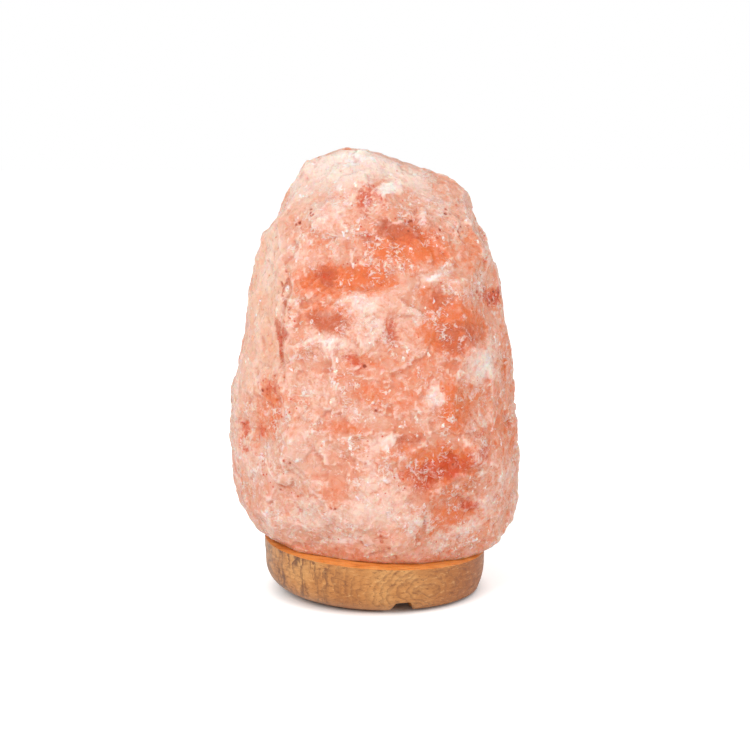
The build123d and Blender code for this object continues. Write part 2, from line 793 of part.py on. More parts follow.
with BuildPart() as bulb_glass:
    body_low = tip_low + bulb_body_height
    body_high = bulb_top - bulb_radius
    bulb_bore = bulb_radius - glass_thickness
    turn_radius = (neck_radius + bulb_radius) / 2  # where the shoulder turns back
    turn_bore = turn_radius - glass_thickness
    turn_height = (bulb_cap_top + body_low) / 2
    with BuildSketch(Plane.XZ):
        with BuildLine():
            Line((neck_radius, glass_low), (neck_radius, bulb_cap_top))
            TangentArc((neck_radius, bulb_cap_top), (turn_radius, turn_height), tangent=(0, 1))
            TangentArc((bulb_radius, body_low), (turn_radius, turn_height), tangent=(0, -1))
            Line((bulb_radius, body_low), (bulb_radius, body_high))
            RadiusArc((bulb_radius, body_high), (0, bulb_top), -bulb_radius)
            Line((0, bulb_top), (0, bulb_top - glass_thickness))
            RadiusArc((0, bulb_top - glass_thickness), (bulb_bore, body_high), bulb_bore)
            Line((bulb_bore, body_high), (bulb_bore, body_low))
            TangentArc((bulb_bore, body_low), (turn_bore, turn_height), tangent=(0, -1))
            TangentArc((neck_bore, bulb_cap_top), (turn_bore, turn_height), tangent=(0, 1))
            Line((neck_bore, bulb_cap_top), (neck_bore, glass_low))
            Line((neck_bore, glass_low), (neck_radius, glass_low))
        make_face()
    revolve(axis=Axis.Z)

with BuildPart() as bulb_stem:
    stem_top = glass_low + stem_height
    with BuildSketch(Plane.XZ):
        with BuildLine():
            Polyline(
                (0, glass_low),
                (neck_bore - screw_fit, glass_low),
                (neck_bore - screw_fit, glass_low + stem_flare),
                (stem_radius, glass_low + stem_flare + stem_radius),
                (stem_radius, stem_top),
                (0, stem_top),
                close=True,
            )
        make_face()
    revolve(axis=Axis.Z)

lead_top = stem_top + lead_height
with BuildPart() as bulb_lead_wires:
    for side in (-1, 1):
        with BuildLine() as lead_line:
            FilletPolyline(
                (side * lead_root, 0, stem_top),
                (side * lead_root, 0, stem_top + lead_straight),
                (side * lead_spread, 0, lead_top - lead_straight),
                (side * lead_spread, 0, lead_top),
                radius=lead_root,
            )
        with BuildSketch(Plane(origin=(side * lead_root, 0, stem_top))):
            Circle(lead_radius)
        sweep(path=lead_line.line)

with BuildPart() as bulb_filament:
    with BuildLine() as filament_line:
        FilletPolyline(
            (lead_spread, 0, lead_top),
            (lead_spread, 0, lead_top + filament_rise),
            (-lead_spread, 0, lead_top + filament_rise),
            (-lead_spread, 0, lead_top),
            radius=filament_rise - filament_radius,
        )
    with BuildSketch(Plane(origin=(lead_spread, 0, lead_top))):
        Circle(filament_radius)
    sweep(path=filament_line.line)

# --------------------------------------------------------------------- output
pieces = {
    "salt_crystal": salt_crystal,
    "wood_base": wood_base,
    "base_screws": base_screws,
    "screw_plugs": screw_plugs,
    "foot_pads": foot_pads,
    "spring_clip": spring_clip,
    "holder_cap": holder_cap,
    "holder_shell": holder_shell,
    "contact_block": contact_block,
    "thread_shell": thread_shell,
    "centre_contact": centre_contact,
    "terminal_posts": terminal_posts,
    "terminal_screws": terminal_screws,
    "threaded_nipple": threaded_nipple,
    "lock_washer": lock_washer,
    "lock_nut": lock_nut,
    "cord_gland": cord_gland,
    "bulb_contact": bulb_contact,
    "bulb_insulator": bulb_insulator,
    "bulb_cap": bulb_cap,
    "bulb_glass": bulb_glass,
    "bulb_stem": bulb_stem,
    "bulb_lead_wires": bulb_lead_wires,
    "bulb_filament": bulb_filament,
}
os.makedirs("parts", exist_ok=True)
for name, piece in pieces.items():
    piece.part.label = name
    export_step(piece.part, f"parts/{name}.step")
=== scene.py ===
import json
import math
import random

import bpy
import numpy as np
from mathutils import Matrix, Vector, kdtree, noise

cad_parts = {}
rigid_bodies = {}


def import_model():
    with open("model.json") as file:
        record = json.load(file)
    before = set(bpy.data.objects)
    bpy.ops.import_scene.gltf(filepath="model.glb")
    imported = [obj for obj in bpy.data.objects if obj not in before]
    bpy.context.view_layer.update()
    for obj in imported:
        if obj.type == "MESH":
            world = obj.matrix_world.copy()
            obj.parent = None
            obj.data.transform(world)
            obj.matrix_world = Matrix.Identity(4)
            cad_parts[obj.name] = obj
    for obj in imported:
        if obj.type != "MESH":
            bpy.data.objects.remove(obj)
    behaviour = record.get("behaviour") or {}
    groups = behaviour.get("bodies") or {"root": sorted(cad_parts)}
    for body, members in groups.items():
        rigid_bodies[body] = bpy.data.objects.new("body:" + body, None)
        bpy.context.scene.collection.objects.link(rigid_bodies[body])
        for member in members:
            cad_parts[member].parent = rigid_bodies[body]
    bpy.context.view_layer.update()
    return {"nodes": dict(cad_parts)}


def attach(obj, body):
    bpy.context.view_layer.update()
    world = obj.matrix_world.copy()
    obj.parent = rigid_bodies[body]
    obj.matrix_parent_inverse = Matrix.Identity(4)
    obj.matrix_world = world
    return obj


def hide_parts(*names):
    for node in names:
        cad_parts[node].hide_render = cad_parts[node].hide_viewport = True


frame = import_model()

MM = 0.001
PER_METRE = 1000  # divided by a size in mm, it gives a pattern's scale
merge_reach = 0.002 * MM
noise_seed = 7
noise.seed_set(noise_seed)  # else the noise starts from the clock


# --------------------------------------------------------------- workshop helpers
def choose(*pieces):
    """Selects only these pieces and makes the first one active."""
    if bpy.context.object and bpy.context.object.mode != "OBJECT":
        bpy.ops.object.mode_set(mode="OBJECT")
    bpy.ops.object.select_all(action="DESELECT")
    for piece in pieces:
        piece.select_set(True)
    bpy.context.view_layer.objects.active = pieces[0]


def free_copy_of(original, name):
    choose(original)
    bpy.ops.object.duplicate()
    piece = bpy.context.object
    piece.name = name
    return piece


def free_copy(node, name):
    """A copy of a solid with its corners merged, free to be worked on."""
    piece = free_copy_of(frame["nodes"][node], name)
    bpy.ops.object.parent_clear(type="CLEAR_KEEP_TRANSFORM")
    bpy.ops.object.mode_set(mode="EDIT")
    bpy.ops.mesh.select_all(action="SELECT")
    bpy.ops.mesh.remove_doubles(threshold=merge_reach)
    bpy.ops.object.mode_set(mode="OBJECT")
    piece.data.materials.clear()
    return piece


def modify(piece, kind, **settings):
    """Adds a modifier and applies it."""
    choose(piece)
    modifier = piece.modifiers.new(kind.lower(), kind)
    for key, value in settings.items():
        setattr(modifier, key, value)
    bpy.ops.object.modifier_apply(modifier=modifier.name)


def points_of(piece):
    """The piece's corners in mm."""
    flat = np.empty(len(piece.data.vertices) * 3)
    piece.data.vertices.foreach_get("co", flat)
    return flat.reshape(-1, 3) / MM


def normals_of(piece):
    """Which way the surface faces at each corner."""
    flat = np.empty(len(piece.data.vertices) * 3)
    piece.data.vertices.foreach_get("normal", flat)
    return flat.reshape(-1, 3)


def put_points(piece, points):
    """Moves the piece's corners to places in mm."""
    piece.data.vertices.foreach_set("co", (points * MM).ravel())
    piece.data.update()


# ----------------------------------------------------------------- finishes
class Finish:
    """A procedural material, built up node by node on Object coordinates."""

    def __init__(self, name):
        self.material = bpy.data.materials.new(name)
        self.material.use_nodes = True
        self.tree = self.material.node_tree
        self.shader = self.tree.nodes["Principled BSDF"]
        self.place = self.node("ShaderNodeTexCoord").outputs["Object"]

    def node(self, kind, settings=None, **sockets):
        made = self.tree.nodes.new(kind)
        for key, value in (settings or {}).items():
            setattr(made, key, value)
        for key, value in sockets.items():
            self.feed(made.inputs[key.replace("_", " ")], value)
        return made

    def feed(self, socket, value):
        """Links a socket to another one, or sets its value."""
        if isinstance(value, bpy.types.NodeSocket):
            self.tree.links.new(value, socket)
        elif value is not None:
            socket.default_value = value

    def base(self, **sockets):
        """Sets the shader's own sockets, by value or by link."""
        for key, value in sockets.items():
            self.feed(self.shader.inputs[key.replace("_", " ")], value)

    def turned(self, scale=(1, 1, 1), rotation=(0, 0, 0), location=(0, 0, 0)):
        """Object coordinates stretched, turned by degrees and moved by metres."""
        angles = tuple(math.radians(angle) for angle in rotation)
        made = self.node(
            "ShaderNodeMapping", Vector=self.place, Scale=scale, Rotation=angles, Location=location,
        )
        return made.outputs[0]

    def noise(self, size, detail=4.0, roughness=0.55, distortion=0.0, vector=None, output="Fac"):
        """Cloudy noise whose lumps are about size mm across."""
        made = self.node(
            "ShaderNodeTexNoise", Vector=vector or self.place, Scale=PER_METRE / size,
            Detail=detail, Roughness=roughness, Distortion=distortion,
        )
        return made.outputs[output]

    def cells(self, size, output="Distance", vector=None):
        """Cells round scattered seats, about size mm apart."""
        made = self.node("ShaderNodeTexVoronoi", Vector=vector or self.place, Scale=PER_METRE / size)
        return made.outputs[output]

    def math(self, operation, first, second=None):
        made = self.tree.nodes.new("ShaderNodeMath")
        made.operation = operation
        self.feed(made.inputs[0], first)
        self.feed(made.inputs[1], second)
        return made.outputs[0]

    def times(self, first, second):
        return self.math("MULTIPLY", first, second)

    def vector_math(self, operation, first, second=None, output=0):
        made = self.tree.nodes.new("ShaderNodeVectorMath")
        made.operation = operation
        self.feed(made.inputs[0], first)
        self.feed(made.inputs[1], second)
        return made.outputs[output]

    def parts(self, vector):
        """The sideways, depth and height parts of a vector."""
        return self.node("ShaderNodeSeparateXYZ", Vector=vector).outputs

    def span(self, value, low, high, to_low=0.0, to_high=1.0):
        """Maps low..high to to_low..to_high smoothly, held at the ends."""
        made = self.node("ShaderNodeMapRange", {"interpolation_type": "SMOOTHSTEP"})
        for socket, number in zip(made.inputs, (value, low, high, to_low, to_high)):
            self.feed(socket, number)
        return made.outputs[0]

    def blend(self, factor, first, second):
        """Goes from the first colour to the second by the factor."""
        made = self.node("ShaderNodeMix", {"data_type": "RGBA"})
        # the mix node has its factor at 0 and its two colours at 6 and 7
        for index, value in ((0, factor), (6, first), (7, second)):
            self.feed(made.inputs[index], value)
        return made.outputs[2]

    def ramp(self, value, *stops):
        made = self.node("ShaderNodeValToRGB", Fac=value)
        elements = made.color_ramp.elements
        while len(elements) < len(stops):
            elements.new(0.5)
        for element, (place, colour) in zip(elements, stops):
            element.position = place
            element.color = colour
        return made.outputs[0]

    def attribute(self, name):
        return self.node("ShaderNodeAttribute", {"attribute_name": name}).outputs["Fac"]

    def bump(self, height, depth, normal=None):
        """Relief of depth mm, laid over the relief that normal has."""
        made = self.node("ShaderNodeBump", Height=height, Distance=depth * MM, Strength=1.0, Normal=normal)
        return made.outputs[0]


def shade(red, green, blue):
    """A colour as it looks on a screen, 0 to 255, for a colour socket."""
    def linear(level):
        level /= 255
        return level / 12.92 if level <= 0.04045 else ((level + 0.055) / 1.055) ** 2.4
    return (linear(red), linear(green), linear(blue), 1.0)


def darker(colour, share):
    return tuple(level * share for level in colour[:3]) + (1,)


def dress(node, finish):
    """Gives a carried-over solid its finish."""
    piece = frame["nodes"][node]
    piece.data.materials.clear()
    piece.data.materials.append(finish.material)


# ---------------------------------------------------------------- the salt block
# Zones seen on the front of the block: place to the right and height in mm, half
# width and half height in mm, tilt in degrees, and strength.
amber_zones = (
    (15, 169, 19, 9, -6, 1.0), (-13, 155, 20, 6.5, 3, 1.15), (3, 153, 8, 3, 8, 1.0),
    (-20, 140, 11, 8, 0, 0.75), (32, 142, 11, 9, -25, 0.75), (38, 131, 10, 7, 0, 1.0),
    (36, 98, 7, 12, 0, 0.95), (47, 103, 7, 14, 0, 0.6), (0, 107, 10, 7, 0, 0.7),
    (-14, 89, 13, 3.5, -4, 0.6), (-48, 96, 7, 13, -8, 0.85), (30, 71, 18, 9, 0, 1.0),
    (36, 60, 12, 8, 20, 0.7), (54, 143, 6, 5, 0, 0.8), (12, 78, 12, 5, 0, 0.55), (43, 49, 6, 6, 0, 0.6),
    (-58, 78, 6, 9, 0, 0.5), (24, 150, 7, 5, 0, 0.6), (-24, 170, 9, 8, 0, 0.4), (60, 52, 4, 12, 0, 0.6),
    (46, 122, 6, 8, 0, 0.5), (-4, 120, 9, 4, 0, 0.5), (-62, 52, 5, 8, 0, 0.4),
    (-20, 58, 14, 5, 10, 0.4), (43, 166, 9, 15, 0, 0.6), (56, 95, 14, 60, 0, 0.5),
    (20, 112, 14, 16, 0, 0.4), (46, 36, 18, 12, 0, 0.5), (20, 40, 14, 10, 0, 0.35),
    (36, 131, 14, 10, 0, 1.2), (14, 104, 16, 9, 0, 0.5), (34, 44, 16, 9, 0, 0.8),
    (62, 120, 8, 20, 0, 0.6), (0, 182, 16, 6, 0, 0.35), (64, 78, 5, 12, 0, 0.7),
)
# Brownish mauve zones lie mostly in the front's hollows and along the crevice: partly the salt's own colour,
# partly painted shade.
mauve_and_shade_zones = (
    (11, 177, 13, 4.5, -10, 0.9), (-3, 174, 4, 2.5, 0, 0.9), (17, 179, 5, 2.5, 0, 0.8),
    (-21, 156, 5, 3, 0, 1.0), (-20, 137, 9, 6, 0, 0.95), (30, 146, 7, 5, 0, 0.7),
    (-24, 127, 6, 3, 0, 0.5), (34, 66, 16, 6, 0, 0.5), (16, 85, 8, 2.2, -6, 0.8),
    (40, 90, 10, 8, 0, 0.4), (-43.2, 126, 1.7, 9, 2, 1.3), (-40.6, 148, 0.8, 12, 0, 1.0),
    (22, 60, 9, 7, 30, 0.4), (36, 118, 9, 6, 0, 0.4), (38, 128, 10, 7, 0, 0.9),
    (-30, 122, 6, 3, 0, 0.4),
)
rust_zones = (
    (-5, 189, 2.6, 5, 6, 0.9), (0, 192, 5, 1.6, -30, 0.8), (7, 132, 3.5, 7, 14, 0.75),
    (-9, 120, 5, 3, -30, 0.8), (-10, 123, 3, 2.4, 0, 0.6), (54, 145, 6, 2.6, -14, 1.1),
    (47, 147.5, 4, 1.6, -20, 0.6), (31, 70, 16, 4.5, 6, 0.95), (33, 69, 6, 3, 0, 1.2),
    (43, 49.5, 4, 2.4, 0, 1.0), (-61, 83, 2.4, 3.4, 0, 0.9), (-51, 83, 2.6, 3, 0, 0.7),
    (-59, 74, 2.6, 2.4, 0, 0.7), (-49, 106, 2.6, 5, -20, 0.6), (-46, 92, 4, 8, -14, 0.3),
    (22, 64, 6, 5, -30, 0.7), (-21, 155, 5, 2, 10, 0.5), (16, 172, 3, 1.6, 0, 0.7),
    (40, 142, 3, 2, 0, 0.3), (2, 38, 5, 1.6, 20, 0.6), (17, 118, 4, 2, 0, 0.5),
    (-42, 127, 0.8, 9, 3, 0.7), (48, 75, 4, 3, 0, 0.7), (46, 84, 4, 3, 0, 0.5),
)
milk_zones = (
    (-6, 144, 10, 5, 8, 0.88), (-3, 134, 13, 10, 0, 0.55), (-19, 127, 10, 4, -10, 0.95),
    (26, 157, 7, 2.4, 30, 1.0), (49, 116, 8, 10, 0, 0.9), (27, 103, 5.5, 6, 0, 0.85),
    (1, 82, 8, 5, 0, 0.8), (-3, 74, 5, 9, 0, 0.65), (0, 58, 13, 12, 0, 0.75), (-13, 35, 5, 5, 0, 0.9),
    (54, 66, 5, 12, 0, 0.5), (52, 50, 4, 7, 0, 0.7), (41, 38, 9, 4, 10, 0.8), (22, 45, 6, 4, 0, 0.8),
    (-30, 48, 22, 10, 0, 0.6), (-27, 84, 14, 10, 0, 0.4), (-20, 184, 12, 9, 20, 0.65),
    (24, 188, 12, 6, -20, 0.5), (-33, 170, 4, 9, 0, 0.6), (-26, 104, 14, 12, 0, 0.5),
    (-56, 66, 6, 10, 0, 0.5), (-47, 68, 8, 7, 0, 0.5), (-58, 104, 5, 8, 0, 0.4), (8, 26, 16, 4, 0, 0.5),
    (14, 137, 7, 4, -20, 0.5), (18, 128, 6, 5, 0, 0.4), (-10, 166, 4, 3, 0, 0.5),
    (10, 95, 20, 5, 0, 0.3), (30, 32, 8, 5, 0, 0.6), (46, 90, 5, 6, 0, 0.5), (-8, 96, 14, 5, 0, 0.3),
    (-12, 208, 22, 6, 0, 1.0), (5, 194.3, 4.6, 2.2, 6, 2.4), (-17, 196, 1.8, 1.8, 0, 1.8),
    (60, 60, 3, 9, 0, 0.6), (-53, 92, 7, 10, 0, 0.45),
)
# Cream zones are the pale, smooth faces: partly the salt's own paler tone, partly painted light on the left
# face, where the light falls, and on the thin top.
cream_zones = (
    (-53, 150, 13, 46, 8, 1.0), (-20, 205, 26, 11, 0, 1.0), (12, 199, 18, 6, -20, 0.8),
    (-57, 112, 8, 18, 0, 0.8), (-64, 90, 4, 22, 0, 0.6), (43, 168, 10, 17, 12, 0.55),
    (50, 185, 10, 8, -30, 0.5), (-36, 196, 8, 14, 30, 0.7),
)
# Clusters of dark specks, as place, height and reach in mm. The clusters about 40 to 43 mm left of the
# middle, from 112 to 150 mm up, sit in the crevice and darken it, partly with painted shade.
speck_clusters = (
    (-35, 176, 3), (-29, 184, 1.6), (-35, 180, 1.6), (28, 176, 3.4), (38, 175, 2.4), (38, 168, 1.8),
    (33, 183, 2.4), (55, 144, 4), (47, 147, 3), (-50, 104, 2.4), (-46, 110, 2), (-61, 83, 2.4),
    (1, 99, 2.4), (-40, 73, 2), (-19, 53, 2), (4, 36, 4), (-42, 60, 2.4), (34, 68, 4), (14, 132, 2.4),
    (-5, 118, 2), (-21, 155, 3), (17, 178, 3), (-43, 129, 1.3), (-43, 124, 1.3), (-42.5, 119, 1.4),
    (-41, 112, 1.2), (-40, 150, 1),
)
# Lumps (outwards) and hollows (inwards) that stand out on the front: place and
# height, half width and half height, tilt, and height of the lump in mm.
front_relief = (
    (-4, 137, 13, 13, 0, 1.5), (-13, 156, 19, 6, 3, -1.3), (14, 171, 18, 8, -6, -0.9),
    (-21, 139, 9, 7, 0, -1.2), (28, 158, 9, 4, 25, 0.9), (1, 70, 7, 20, 0, 0.9),
    (49, 115, 8, 10, 0, 0.8), (5, 194.5, 5, 3, 10, 0.9), (30, 70, 16, 9, 0, -0.9),
    (38, 131, 9, 7, 0, -0.9), (27, 103, 5, 6, 0, 0.7), (16, 83, 9, 3, -6, -0.8),
    (8, 132, 3, 7, 14, -0.6), (-20, 127, 9, 3, -8, 0.6), (-10, 121, 6, 3, 0, -0.7),
    (-48, 96, 6, 11, -8, -0.7),
)
crevice_line = (
    (-37, 170), (-40, 161), (-39.5, 153), (-40, 145), (-42.3, 137), (-43.6, 128), (-43, 119), (-41, 108),
)
front_zones = {
    "amber": amber_zones,
    "mauve_and_shade": mauve_and_shade_zones,
    "rust": rust_zones,
    "milk": milk_zones,
    "cream": cream_zones,
}

# What the block keeps as the solid has it, in mm: the sawn seat, the chamber round the
# bulb and the holes for the plugs.
seat_height = 23.0
seat_slope = math.tan(math.radians(3.5))
seat_margin = 0.8
seat_fade = 4
chamber_reach = 22.0
chamber_top = 131
plug_circle = 34
plug_reach = 5.5
plug_top = 47
# Relief of the block: sizes, heights and depths in mm, tilts as slopes.
voxel = 1.16
swell_size = 21.0
swell_height = 0.8
chip_seed = 8
chip_spacing = 13.0
chip_tilt = 0.13
chip_limits = (-0.9, 0.7)
fine_chip_seed = 21
fine_chip_spacing = 4.6
fine_chip_tilt = 0.12
fine_chip_limits = (-0.35, 0.3)
crevice_depth = 1.6
crevice_reach = 1.8
crest_height = 0.35


def wander(points, size, reach, seed):
    """The corners pushed about by noise, so that a zone's edge runs unevenly."""
    shift = Vector((seed * 31.7, seed * 11.3, seed * 7.9))
    return np.array([noise.noise_vector(Vector(point) / size + shift) for point in points]) * reach


def on_front(points, outward):
    """1 where a corner faces the front, fading to 0 round the sides."""
    facing = np.clip((0.3 - outward[:, 1]) / 0.5, 0, 1)
    return facing * np.clip((8 - points[:, 1]) / 16, 0, 1)


def zone_reach(points, across, height, half_wide, half_high, tilt):
    """Distance from a zone's middle, as a share of its size."""
    turn = math.radians(tilt)
    along, up = points[:, 0] - across, points[:, 2] - height
    first = (along * math.cos(turn) + up * math.sin(turn)) / half_wide
    second = (up * math.cos(turn) - along * math.sin(turn)) / half_high
    return np.sqrt(first**2 + second**2)


def zone_mask(points, zones):
    """How strongly each corner lies in the zones, fading out softly."""
    mask = np.zeros(len(points))
    for *place, strength in zones:
        mask = np.maximum(mask, strength * np.clip((1.7 - zone_reach(points, *place)) / 1.2, 0, 1))
    return mask


def speck_mask(points):
    """How near each corner is to a cluster of dark specks."""
    mask = np.zeros(len(points))
    for along, height, reach in speck_clusters:
        away = np.hypot(points[:, 0] - along, points[:, 2] - height)
        mask = np.maximum(mask, np.clip(1.6 - away / reach, 0, 1))
    return mask


def chips(points, seed, spacing, tilt):
    """Height of the small flat chips: round each seat the surface leans its own way."""
    picker = random.Random(seed)
    low, high = points.min(0) - spacing, points.max(0) + spacing
    count = int(np.prod((high - low) / spacing))
    tree = kdtree.KDTree(count)
    leans = []
    for index in range(count):
        tree.insert(Vector([picker.uniform(a, b) for a, b in zip(low, high)]), index)
        leans.append(Vector([picker.uniform(-tilt, tilt) for _ in range(3)]))
    tree.balance()
    height = np.empty(len(points))
    for number, point in enumerate(points):
        seat, index, _ = tree.find(point)
        height[number] = leans[index].dot(Vector(point) - seat)
    return height


def line_distance(points, line):
    """Distance in mm from a line drawn on the front."""
    nearest = np.full(len(points), np.inf)
    flat = points[:, (0, 2)]
    for start, end in zip(line, line[1:]):
        start, end = np.array(start, float), np.array(end, float)
        share = np.clip(((flat - start) @ (end - start)) / ((end - start) @ (end - start)), 0, 1)
        away = np.linalg.norm(flat - start - share[:, None] * (end - start), axis=1)
        nearest = np.minimum(nearest, away)
    return nearest


def soften(piece, rounds, weights=None):
    """Rounds the edges off, all over or by each corner's weight."""
    if weights is None:
        modify(piece, "SMOOTH", factor=0.5, iterations=rounds)
        return
    group = piece.vertex_groups.new(name="soft")
    weights = np.round(weights, 1)
    for level in np.unique(weights):
        group.add(np.flatnonzero(weights == level).tolist(), float(level), "REPLACE")
    modify(piece, "SMOOTH", factor=0.5, iterations=rounds, vertex_group="soft")
    piece.vertex_groups.remove(piece.vertex_groups["soft"])


def hew(block):
    """Breaks the surface up; returns its corners and how far each faces the front."""
    points = points_of(block)
    across = np.hypot(points[:, 0], points[:, 1])
    seat = seat_height - points[:, 0] * seat_slope
    inside = (across < chamber_reach) & (points[:, 2] < chamber_top)
    holes = (np.abs(across - plug_circle) < plug_reach) & (points[:, 2] < plug_top)
    free = np.clip((points[:, 2] - seat - seat_margin) / seat_fade, 0, 1)
    free[inside | holes] = 0
    soften(block, 9, free)

    points, outward = points_of(block), normals_of(block)
    front = on_front(points, outward)
    astray = points + wander(points, 9.0, 3.0, 1)
    swell = [noise.fractal(Vector(point) / swell_size, 1.0, 2.1, 4) for point in points]
    push = np.array(swell) * swell_height
    push += np.clip(chips(astray, chip_seed, chip_spacing, chip_tilt), *chip_limits)
    for *place, height in front_relief:
        push += height * np.clip((1.25 - zone_reach(astray, *place)) / 0.55, 0, 1) * front
    push -= crevice_depth * np.clip(1 - line_distance(astray, crevice_line) / crevice_reach, 0, 1) * front
    put_points(block, points + outward * (push * free)[:, None])
    soften(block, 2, free)

    points, outward = points_of(block), normals_of(block)
    astray = points + wander(points, 3.0, 1.2, 5)
    fine = np.clip(chips(astray, fine_chip_seed, fine_chip_spacing, fine_chip_tilt), *fine_chip_limits)
    points = points + outward * (fine * free)[:, None]
    points[:, 2] = np.where(inside, points[:, 2], np.maximum(points[:, 2], seat))
    put_points(block, points)
    return points, front


def stain(block, points, front):
    """Writes the coloured zones, the specks and the crest into the block as attributes; the crest guides
    painted highlights on edges and painted shade in hollows.
    """
    layers = {}
    for seed, (name, zones) in enumerate(front_zones.items()):
        astray = points + wander(points, 8.0, 3.5, seed) + wander(points, 2.6, 1.6, seed + 9)
        layers[name] = zone_mask(astray, zones) * front
    layers["speck"] = speck_mask(points) * front
    layers["front"] = front
    # edges that stand out, and hollows, from what ten rounds of softening would move; painted highlight and
    # painted shade follow them
    softened_copy = free_copy_of(block, "softened_copy")
    soften(softened_copy, 10)
    moved = ((points_of(block) - points_of(softened_copy)) * normals_of(softened_copy)).sum(1)
    layers["crest"] = np.clip(moved / crest_height, -1, 1)
    bpy.data.objects.remove(softened_copy)
    for name, values in layers.items():
        block.data.attributes.new(name, "FLOAT", "POINT").data.foreach_set("value", values)


def make_salt_block():
    block = free_copy("salt_crystal", "salt_block")
    modify(block, "REMESH", mode="VOXEL", voxel_size=voxel * MM, adaptivity=0, use_smooth_shade=True)
    points, front = hew(block)
    stain(block, points, front)
    return block


salt_shades = {
    "body": ((0.3, shade(226, 144, 110)), (0.52, shade(230, 168, 142)), (0.72, shade(235, 192, 172))),
    # the smooth faces and the top: partly own tone, partly painted light on the left face and at the top
    "smooth_face": ((0.36, shade(235, 178, 148)), (0.52, shade(239, 196, 172)), (0.66, shade(246, 220, 206))),
    "top": shade(247, 226, 214),
    "amber": shade(229, 112, 44),
    # partly the salt's own colour, partly painted shade in hollows
    "mauve_and_shade": shade(192, 88, 50),
    "milk": shade(249, 220, 206),
    "flake": shade(254, 243, 238),
    "rust": shade(206, 72, 24),
    "pale_mottle": shade(248, 218, 204),
    "deep_mottle": shade(222, 116, 66),
    "pale_grain": shade(251, 230, 219),
    "deep_grain": shade(214, 100, 50),
    # painted highlight on the edges that stand out, and painted shade in the hollows
    "painted_edge_highlight": shade(252, 234, 225),
    "painted_hollow_shade": shade(214, 100, 60),
    "stroke": shade(255, 245, 240),
    "clay": shade(212, 76, 36),
    "speck_rim": shade(206, 84, 40),
    "speck": shade(138, 52, 26),
    # painted highlight of the glints
    "painted_glint": shade(255, 251, 248),
}
# Strokes follow the lines where a noise passes its middle value: size of the noise in
# mm, how far from the middle value they reach, start in metres, and stretch.
stroke_kinds = (
    (5.5, 0.03, 0.0, (0.45, 1, 1)),
    (3.6, 0.042, 0.35, (1, 1, 0.5)),
    (2.6, 0.05, 0.7, (0.45, 1, 1)),
)


